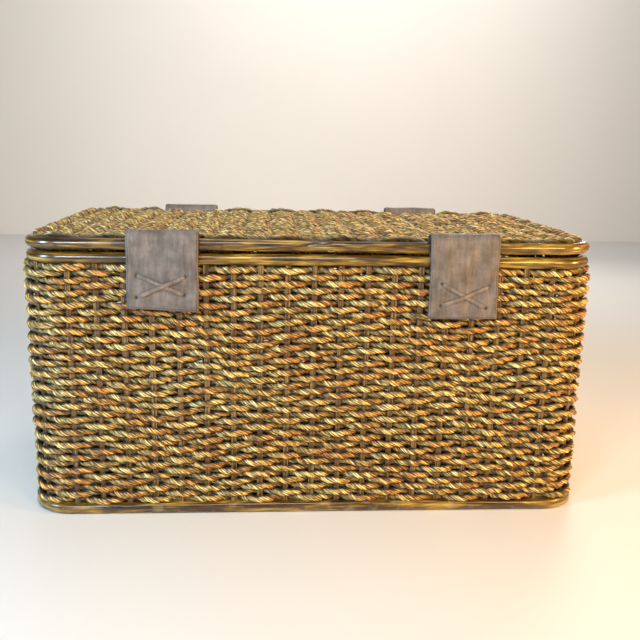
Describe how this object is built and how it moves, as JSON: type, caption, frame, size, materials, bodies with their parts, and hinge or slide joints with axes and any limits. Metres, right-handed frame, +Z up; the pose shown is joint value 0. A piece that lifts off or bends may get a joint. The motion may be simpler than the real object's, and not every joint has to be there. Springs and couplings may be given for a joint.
{
  "type": "lidded storage basket",
  "caption": "Rectangular woven storage trunk with rattan rims, a lid hinged on leather straps at the back and leather closing tabs at the front.",
  "frame": {"origin": "middle of the underside, on the surface that the basket stands on", "axes": "+Z up, +X to the right seen from the front, front towards -Y"},
  "size_m": [0.613, 0.3552, 0.3046],
  "materials": {
    "rattan_pole": "stained and varnished",
    "rattan_stake": "satin",
    "seagrass_rope": "natural fibre",
    "leather_strap": "matt",
    "leather_thong": "matt",
    "wire": "dull"
  },
  "bodies": {
    "basket": {"base_rim": "rattan_pole", "base_weave": "seagrass_rope", "base_stakes": "rattan_stake", "body_rim": "rattan_pole", "stakes_front": "rattan_stake", "stakes_back": "rattan_stake", "stakes_left": "rattan_stake", "stakes_right": "rattan_stake", "stakes_corners": "rattan_stake", "weave_front": "seagrass_rope", "weave_back": "seagrass_rope", "weave_left": "seagrass_rope", "weave_right": "seagrass_rope", "weave_corner_front_left": "seagrass_rope", "weave_corner_front_right": "seagrass_rope", "weave_corner_back_left": "seagrass_rope", "weave_corner_back_right": "seagrass_rope", "hinge_strap_left": "leather_strap", "hinge_strap_right": "leather_strap", "hinge_lace_left": "leather_thong", "hinge_lace_right": "leather_thong"},
    "lid": {"lid_rim": "rattan_pole", "lid_weave": "seagrass_rope", "lid_stakes": "rattan_stake", "lid_rim_staple": "wire"},
    "tab_left": {"tab_strap_left": "leather_strap", "tab_lace_left": "leather_thong"},
    "tab_right": {"tab_strap_right": "leather_strap", "tab_lace_right": "leather_thong"}
  },
  "joints": [
    {"name": "lid_hinge", "type": "hinge", "parent": "basket", "child": "lid", "pos_m": [0, 0.1638, 0.2946], "axis": [-1, 0, 0], "range_deg": [0, 105]},
    {"name": "tab_left_swing", "type": "hinge", "parent": "lid", "child": "tab_left", "pos_m": [-0.1562, -0.1638, 0.2946], "axis": [-1, 0, 0], "range_deg": [0, 120]},
    {"name": "tab_right_swing", "type": "hinge", "parent": "lid", "child": "tab_right", "pos_m": [0.1562, -0.1638, 0.2946], "axis": [-1, 0, 0], "range_deg": [0, 120]}
  ]
}
